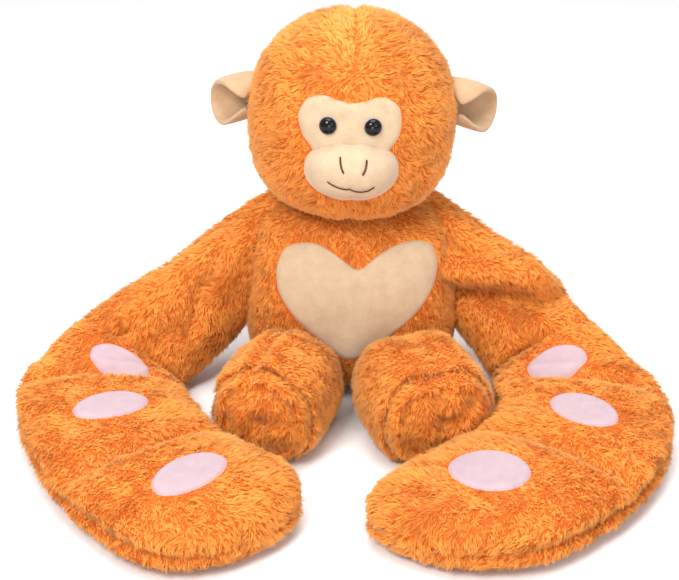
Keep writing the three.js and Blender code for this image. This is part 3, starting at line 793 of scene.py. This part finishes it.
def build_stitches():
    """The smile and the two nostrils, which lie on the muzzle."""
    threads = [("smile_thread", "smile_stitch", smooth_path(SMILE, 90), 0.55)]
    for side, sign in SIDES:
        path = smooth_path(NOSTRIL, 24) * (sign, 1) + (NOSE_MIDDLE, 0)
        threads.append((f"nostril_thread_{side}", f"nostril_stitch_{side}", path, 0.8))
    for name, node, path, radius in threads:
        x, z = path[:, 0], path[:, 1] - SLOPE * path[:, 0]
        at, _ = front_of(MUZZLE, x, z + MUZZLE["centre"][2])
        stitch = stitch_tube(name, from_head(at), radius)
        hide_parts(node)
        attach(stitch, "head")


# ------------------------ ears


def build_ears():
    """Each ear is a padded disc folded into a funnel at its root, open to the front and outwards."""
    rows, around = 48, 96
    level, turn = np.meshgrid(np.linspace(0.03, math.pi - 0.03, rows), turns(around), indexing="ij")
    c, s = np.cos(turn), np.sin(turn)
    square = squared(c, s, 2.7)
    out, across = np.sin(level) * c * square, np.sin(level) * s * square
    layer = np.sign(np.cos(level)) * np.abs(np.cos(level)) ** 0.5
    run = (out + 1) / 2
    for side, sign in SIDES:
        half = np.radians(lerp(172, 80, np.clip((run - 0.26) / 0.74, 0, 1) ** 1.15))
        angle = across * half + 0.07 * (1 - run)
        radius = EAR["radius"] + 2.5 * run + layer * lerp(4.2, 3.2, run) + 1.2 * np.sin(3 * run + 2 * across)
        x = EAR["root"] + EAR["length"][side] * run * (1 - 0.10 * across**2)
        y = radius * np.cos(angle) - 6 * run
        z = EAR["height"] + radius * np.sin(angle) - 8 * run
        points, faces = closed(from_head(np.stack([sign * x, y, z], -1)))
        ear = make(f"ear_plush_{side}", points, faces if sign > 0 else turned_over(faces), tan)
        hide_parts(f"ear_back_{side}", f"ear_front_{side}")
        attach(ear, f"ear_{side}")


# ------------------------ torso


def torso_half(z):
    """The torso's half width and half depth at a height: square-shouldered, rounder from front to back."""
    w = np.clip(np.abs((z - TORSO["centre"]) / TORSO["height"]), 0, 1)
    top = z > TORSO["centre"]
    taper = 1 - 0.13 * np.clip((z - 60) / 100, 0, 1)
    wide = np.where(top, (1 - w**6.5) ** (1 / 6.5), (1 - w**3.4) ** (1 / 3.4)) * TORSO["width"] * taper
    deep = np.where(top, (1 - w**2.8) ** (1 / 2.8), (1 - w**3.2) ** (1 / 3.2)) * TORSO["depth"]
    return wide, deep


def torso_front(x, z):
    """Points on the torso's front, and the way that they face."""

    def at(x, z):
        wide, deep = torso_half(z)
        v = np.clip(1 - np.abs((x - TORSO["middle"]) / wide) ** 2.3, 0.0004, 1) ** (1 / 2.3)
        return np.stack([x, -deep * v, z], -1)

    step = 0.5
    facing = np.cross(at(x + step, z) - at(x - step, z), at(x, z + step) - at(x, z - step))
    return at(x, z), unit(facing)


def heart_place(x, z):
    """Where the heart's own x lies on the torso, at a height."""
    return x + HEART_MIDDLE + HEART_LEAN * (z - 95)


def torso_length(at):
    """The pile is short round the heart, and stops at the heart and the neck."""
    x, y, z = at.T
    out = heart_edge.outside(x - heart_place(0, z), z)
    front = y < -20
    size = 7.0 - 1.8 * bump(np.where(front, np.maximum(out, 0), 99), 7)
    size[front & (out < -2.2)] = 0
    neck = np.hypot(x - PIVOT[0], y - PIVOT[1]) < 20
    size[neck & (z > 140)] = 0
    return size


def torso_nap(at, up):
    x, none = at[:, 0], np.zeros(len(at))
    return np.stack([(x - MIDDLE) * 0.004, none - 0.2, none - 1], -1)


def build_neck():
    """The firm wad between the head and the torso, with a ball top that the head nods on."""
    radius = NECK_WAD["radius"]
    sides = [(2, NECK_WAD["low"]), (NECK_WAD["foot"], NECK_WAD["low"]), (radius, NECK_WAD["shoulder"])]
    rise = np.linspace(0, math.pi / 2, 12)[:-1]
    dome = [(radius * math.cos(t), PIVOT[2] + radius * math.sin(t)) for t in rise]
    rings = lathe(sides + [(radius, NECK_WAD["high"])] + dome)
    points, faces = closed(rings + (PIVOT[0], PIVOT[1], 0))
    wad = make("neck_wad", points, faces, fibre)
    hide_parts("neck_stuffing")
    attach(wad, "neck")


def build_torso():
    rows, around = 110, 150
    rise = np.linspace(-math.pi / 2 + 0.02, math.pi / 2 - 0.02, rows)
    z = (TORSO["centre"] + TORSO["height"] * np.sign(rise) * np.abs(np.sin(rise)) ** 0.7)[:, None]
    wide, deep = torso_half(z)
    c, s = np.cos(turns(around))[None], np.sin(turns(around))[None]
    square = squared(c, s, 2.3)
    x = TORSO["middle"] + wide * c * square
    seam = 2.0 * bump(x - TORSO["middle"] - 2, 5) * (s < 0) * (z > 120)
    y = deep * s * square + seam
    collar = bump(np.hypot((x - PIVOT[0]) * 0.8, y - PIVOT[1]), 50) * 14
    points, faces = closed(np.stack([x, y, np.maximum(z + collar * np.clip((z - 146) / 14, 0, 1), 0.0)], -1))
    skin = make("torso_skin", points, faces, backing)
    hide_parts("torso_back_skin", "torso_front_skin_left", "torso_front_skin_right")
    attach(skin, "torso")
    for pile in grow("torso_pile", points, triangles(faces), torso_nap, torso_length, seed=21):
        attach(pile, "torso")


def build_heart():
    def surface(x, z):
        return torso_front(heart_place(x, z), z)

    def creases(x, z):
        return 0.9 * waves(np.stack([x, z * 0.6, 0 * x], -1), 46, 8)

    heart = patch("heart_plush", heart_edge, surface, cream, crown=2.6, sculpt=creases, rings=34, sectors=160)
    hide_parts("heart_panel")
    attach(heart, "torso")


# ------------------------ legs


def leg_grid(side, sign):
    """Rings of points round a leg, from the hip forwards to the sole."""
    hip, across, up, bumps = FEET[side]
    rows, around = 90, 110
    keys = np.array(LEG, float)
    k = np.linspace(0, len(keys) - 1, rows)
    y, share, middle = (along_list(keys[:, i], k) for i in range(3))
    for values in (y, share, middle):
        for _ in range(5):
            values[1:-1] = (values[:-2] + 2 * values[1:-1] + values[2:]) / 4
    y, share, middle = y[:, None], share[:, None], middle[:, None]
    turn = turns(around)
    c, s = np.cos(turn)[None], np.sin(turn)[None]
    square = squared(c, s, 2.5)
    rim_bumps = sum(h * bump(np.degrees(turn) - a, w) for a, h, w in bumps)[None]
    rim_bumps = rim_bumps * np.clip((share - 0.55) / 0.4, 0, 1)
    x = (share * across * square + rim_bumps) * c
    z = (share * up * square + rim_bumps) * s + middle * up
    x = x * lerp(1.05, 0.90, np.clip(z / 105, 0, 1))
    crease = (3.6 * bump((share - 0.80) * across, 3.0) - 1.5) * np.where(y < -140, 1, 0)
    place = np.stack([x.ravel(), 0 * x.ravel(), z.ravel()], -1)
    dents = 2.5 * waves(place, 30, 40 + sign).reshape(x.shape)
    forward = y + crease - dents * np.clip((-150 - y) / 20, 0, 1) + LEG_ROOT
    c, s = math.cos(sign * FOOT_TURN), math.sin(sign * FOOT_TURN)
    return np.stack([x * c - forward * s + hip, x * s + forward * c - LEG_ROOT, np.maximum(z, 0.0)], -1)


def leg_length(at):
    """The pile stops where the leg meets the torso."""
    return np.where(at[:, 1] > -64, 0, 7.0)


def build_leg(side, sign):
    grid = leg_grid(side, sign)
    points, faces = closed(grid)
    skin = make(f"leg_skin_soft_{side}", points, faces, backing)
    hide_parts(f"leg_skin_{side}", f"sole_panel_{side}")
    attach(skin, f"leg_{side}")
    core = grid.reshape(-1, 3).mean(0)
    wad = make(f"leg_wad_{side}", core + (points - core) * 0.86, faces, fibre)
    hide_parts(f"leg_stuffing_{side}")
    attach(wad, f"leg_{side}")
    middle = FEET[side][0] + sign * 27

    def nap(at, up):
        sole, none = np.clip((-175 - at[:, 1]) / 10, 0, 1), np.zeros(len(at))
        away = np.stack([(at[:, 0] - middle) / 90, none, none - 0.9], -1)
        forward = np.stack([none, none - 0.7, none - 0.6], -1)
        return lerp(forward, away, sole[:, None])

    seed = 31 if sign > 0 else 32
    for pile in grow(f"leg_pile_{side}", points, triangles(faces), nap, leg_length, seed):
        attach(pile, f"leg_{side}")


# ------------------------ arms


class Arm:
    """The band that an arm is made from, by station number u and share t of its half width."""

    def __init__(self, side, stations):
        self.side = side
        self.at = np.array([s[0] for s in stations], float)
        self.across = unit(np.array([s[1] for s in stations], float))
        self.half = np.array([s[2] for s in stations], float)
        self.sign = np.sign(self.at[0, 0] - MIDDLE)

    def spine(self, u):
        """Points along the middle of the band."""
        p = np.concatenate([[2 * self.at[0] - self.at[1]], self.at, [2 * self.at[-1] - self.at[-2]]])
        low = np.clip(np.floor(u).astype(int), 0, len(self.at) - 2)
        f = (u - low)[:, None]
        a, b, c, d = (p[low + k] for k in range(4))
        return through(a, b, c, d, f)

    def frame(self, u):
        """The middle, the way across, the way that it faces, the half width and the way along."""
        low = np.clip(np.floor(u).astype(int), 0, len(self.at) - 2)
        f = u - low
        edge = unit(lerp(self.across[low], self.across[low + 1], f[:, None]))
        half = lerp(self.half[low], self.half[low + 1], f)
        way = unit(self.spine(u + 0.02) - self.spine(u - 0.02))
        facing = unit(np.cross(way, edge)) * self.sign
        return self.spine(u), edge, facing, half, way

    def surface(self, u, t, top=True):
        """Points on the band's upper or lower face, pinched at the quilting seams, and their facing."""
        at, edge, facing, half, _ = self.frame(u)
        end = np.clip(1 - np.clip(u - 7, 0, 1) ** 2.3, 0, 1) ** (1 / 2.3)
        height = along_list(ARM_ABOVE if top else ARM_BELOW, u)
        low = np.clip(1 - np.abs(t) ** 2.6, 0, 1) ** 0.5
        quilt = sum(bump((u - k) * self.pace(k), 10) for k in QUILTED)
        height = height * low * (1 - (0.38 if top else 0.26) * quilt) * end**0.6
        return at + edge * (t * half * end)[:, None] + facing * (height if top else -height)[:, None], facing

    def pace(self, k):
        """The length of one station, in mm, near station k."""
        k = int(min(max(k, 1), len(self.at) - 2))
        return float(np.linalg.norm(self.at[k + 1] - self.at[k - 1]) / 2)

    def rings(self, u, around=76, share=None):
        """Closed rings round the band, drawn in to a share of their size before the folds are pressed in."""
        rows = len(u)
        u, turn = (a.ravel() for a in np.meshgrid(u, turns(around), indexing="ij"))
        t, s = np.cos(turn), np.sin(turn)
        upper, _ = self.surface(u, t, True)
        lower, _ = self.surface(u, t, False)
        points = np.where((s >= 0)[:, None], upper, lower)
        edge = self.frame(u)[1]
        seam = 8.0 * bump(s - 0.02, 0.16) * np.clip((u - 1.5) / 2, 0.5, 1)
        lip = 4.0 * bump(np.abs(s) - 0.42, 0.22) * np.clip((u - 2) / 2, 0, 1)
        points = points - edge * (np.sign(t) * (seam - lip))[:, None]
        if share is not None:
            core = self.spine(u)
            points = core + (points - core) * np.repeat(share, around)[:, None]
        points = self.fold(points, u)
        points[:, 2] = np.maximum(points[:, 2], 0.0)
        return points.reshape(rows, around, 3)

    def fold(self, points, u):
        """The points with the upper arm's folds pressed in."""
        facing = self.frame(u)[2]
        front = np.clip(-facing[:, 1] * 2, 0, 1) * np.clip((2.4 - u) * 2, 0, 1)
        for line, depth, over, width, lift in FOLDS[self.side]:
            path = smooth_path(line, 60)
            gap = points[:, None, [0, 2]] - path[None]
            near = np.argmin((gap**2).sum(2), 1)
            gap = gap[np.arange(len(points)), near]
            way = unit(np.gradient(path, axis=0))[near]
            away = np.hypot(gap[:, 0], gap[:, 1])
            above = np.sign(way[:, 0] * gap[:, 1] - way[:, 1] * gap[:, 0]) * away
            move = over * bump(above - width, width) - depth * bump(above + width * 0.15, width * 0.55)
            points = points + facing * (move * front)[:, None]
            points[:, 2] += lift * bump(above - width * 1.3, width * 1.2) * front
        return points


def place_pads(arm):
    """Each pad's body, station and half sizes, its middle on the arm, and the ways across and along it."""
    pads = []
    for body, station, share, turn, wide, tall in PADS[arm.side]:
        u = np.array([station])
        at, facing = arm.surface(u, np.array([share]))
        edge = arm.frame(u)[1][0]
        way = unit(np.cross(facing[0], edge))
        c, s = math.cos(math.radians(turn)), math.sin(math.radians(turn))
        pads.append((body, station, at[0], edge * c + way * s, way * c - edge * s, wide, tall))
    return pads


def arm_length(at, pads):
    """The pile is short round the pads, and stops at them."""
    size = np.full(len(at), 7.3)
    for _, _, middle, edge, way, wide, tall in pads:
        off = at - middle
        a, b, c = off @ edge, off @ way, off @ np.cross(edge, way)
        out = np.sqrt((a / wide) ** 2 + (b / tall) ** 2 + (c / 40) ** 2)
        near = np.abs(c) < 22
        size = np.where(near, size - 2.0 * bump(np.maximum(out - 1, 0), 0.25), size)
        size[near & (out < 0.93)] = 0
    return size


def build_arm_skin(arm, pads):
    """The arm's cloth in five parts. Three of them span a joint."""
    flip = arm.sign > 0
    stops = np.arange(-8, 161) * 0.05
    grid = arm.rings(stops)
    for n, (low, high, first, then, panels) in enumerate(ARM_PARTS):
        part = grid[(stops >= low - 1e-6) & (stops <= high + 1e-6)]
        points, (sides, fans) = closed(part)
        around = part.shape[1]
        ends = {0: [fans[:around]], len(ARM_PARTS) - 1: [fans[around:]]}.get(n, [])
        faces = [sides, *ends] if flip else turned_over([sides, *ends])
        skin = make(f"arm_skin_{arm.side}_{n}", points, faces, backing)
        if panels:
            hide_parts(*[f"{first}_{arm.side}_{panel}_skin" for panel in panels])
        spine, _, _, _, way = arm.frame(np.linspace(low, high, 24))

        def nap(at, up, spine=spine, way=way):
            near = np.argmin(((at[:, None] - spine[None]) ** 2).sum(2), 1)
            away = unit((at - spine[near]) * (1, 1, 0.2))
            return way[near] * 0.8 + away * 0.35 + np.array([0, 0, -0.45])

        tris = triangles(faces[:1])
        weight = np.where(vertex_normals(points, tris)[:, 2] < -0.6, 0.45, 1.0)  # thin underneath
        seed = (51 if flip else 71) + n
        name = f"arm_pile_{arm.side}_{n}"
        piles = grow(name, points, tris, nap, lambda at: arm_length(at, pads), seed, weight)
        for piece in [skin, *piles]:
            if then is None:
                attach(piece, f"{first}_{arm.side}")
            else:
                seam = (low + high) / 2
                ends = to_frame(arm.spine(np.array([seam - 0.45, seam + 0.45])))
                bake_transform(piece)


def build_arm_wads(arm):
    """The filling of each pillow, inside the skin."""
    for body, middle, share in ARM_WADS:
        v = np.linspace(-0.97, 0.97, 25)
        points, faces = closed(arm.rings(middle + v * 0.85, share=share * (1 - np.abs(v) ** 3) ** 0.5))
        wad = make(f"{body}_wad_{arm.side}", points, faces if arm.sign > 0 else turned_over(faces), fibre)
        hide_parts(f"{body}_{arm.side}_stuffing")
        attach(wad, f"{body}_{arm.side}")


def build_arm_pads(arm, pads):
    """The pink oval pads, laid on the band's upper face."""
    for body, station, middle, edge, way, wide, tall in pads:

        def surface(x, z, station=station, middle=middle, edge=edge, way=way):
            target = middle + x[:, None] * edge + z[:, None] * way
            u = np.full(len(x), station)
            t = np.zeros(len(x))
            for _ in range(6):
                _, across, facing, half, along = arm.frame(u)
                off = target - arm.surface(u, t)[0]
                u = u + (off * along).sum(1) / arm.pace(round(station))
                u = np.clip(u, station - 1.2, station + 1.2)
                t = np.clip(t + (off * across).sum(1) / half, -0.95, 0.95)
            return arm.surface(u, t)[0], facing

        turn = np.linspace(-3.1, 3.1, 90)
        oval = Outline(np.stack([wide * np.cos(turn), tall * np.sin(turn)], -1), (0, 0))
        pad = patch(f"pad_plush_{body}_{arm.side}", oval, surface, pink, crown=3.2)
        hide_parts(f"{body}_pad_{arm.side}")
        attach(pad, f"{body}_{arm.side}")


def build_arm(side, stations):
    arm = Arm(side, stations)
    pads = place_pads(arm)
    build_arm_skin(arm, pads)
    build_arm_wads(arm)
    build_arm_pads(arm, pads)


# ------------------------ CAD pieces that stay, and the stage


def finish_inner_pieces():
    """The head's, the muzzle's and the torso's fillings and the washers are the CAD pieces."""
    for name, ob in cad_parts.items():
        if name.endswith("_stuffing"):
            look = fibre
        elif "washer" in name:
            look = nylon
        else:
            continue
        ob.data.materials.clear()
        ob.data.materials.append(look)


def build_floor():
    material, _, _, shader = new_material("floor_white")
    shader.inputs["Base Color"].default_value = (0.80, 0.795, 0.79, 1)
    shader.inputs["Roughness"].default_value = 0.75
    shader.inputs["Specular IOR Level"].default_value = 0.2
    half, height = FLOOR["half"], FLOOR["height"]
    corners = [(-half, -half, height), (half, -half, height), (half, half, height), (-half, half, height)]
    make("floor", corners, [np.array([[0, 1, 2, 3]])], material)


def build_lights():
    world = bpy.data.worlds.new("studio")
    world.use_nodes = True
    world.node_tree.nodes["Background"].inputs["Color"].default_value = (1, 1, 1, 1)
    world.node_tree.nodes["Background"].inputs["Strength"].default_value = 0.56
    scene = bpy.context.scene
    scene.world = world
    scene.view_settings.view_transform = "Standard"
    for name, at, size, power in LIGHTS:
        data = bpy.data.lights.new(name, "AREA")
        data.size = size
        data.energy = power
        lamp = bpy.data.objects.new(name, data)
        lamp.location = at
        lamp.rotation_euler = (Vector((0, 0, 0.1)) - Vector(at)).to_track_quat("-Z", "Y").to_euler()
        scene.collection.objects.link(lamp)


def build_camera():
    tilt = CAMERA["tilt"]
    away = np.array([0, -math.cos(tilt), math.sin(tilt)]) * CAMERA["distance"]
    data = bpy.data.cameras.new("camera")
    data.sensor_width = 36
    data.lens = CAMERA["lens"]
    camera = bpy.data.objects.new("camera", data)
    camera.location = to_frame(CAMERA["target"] + away)
    camera.rotation_euler = (math.pi / 2 - tilt, 0, 0)
    bpy.context.scene.collection.objects.link(camera)
    bpy.context.scene.camera = camera


build_camera()
build_floor()
build_lights()
finish_inner_pieces()
build_head()
build_face()
build_muzzle()
build_stitches()
build_ears()
build_neck()
build_torso()
build_heart()
for foot_side, foot_sign in SIDES:
    build_leg(foot_side, foot_sign)
build_arm("right", RIGHT_ARM)
build_arm("left", LEFT_ARM)
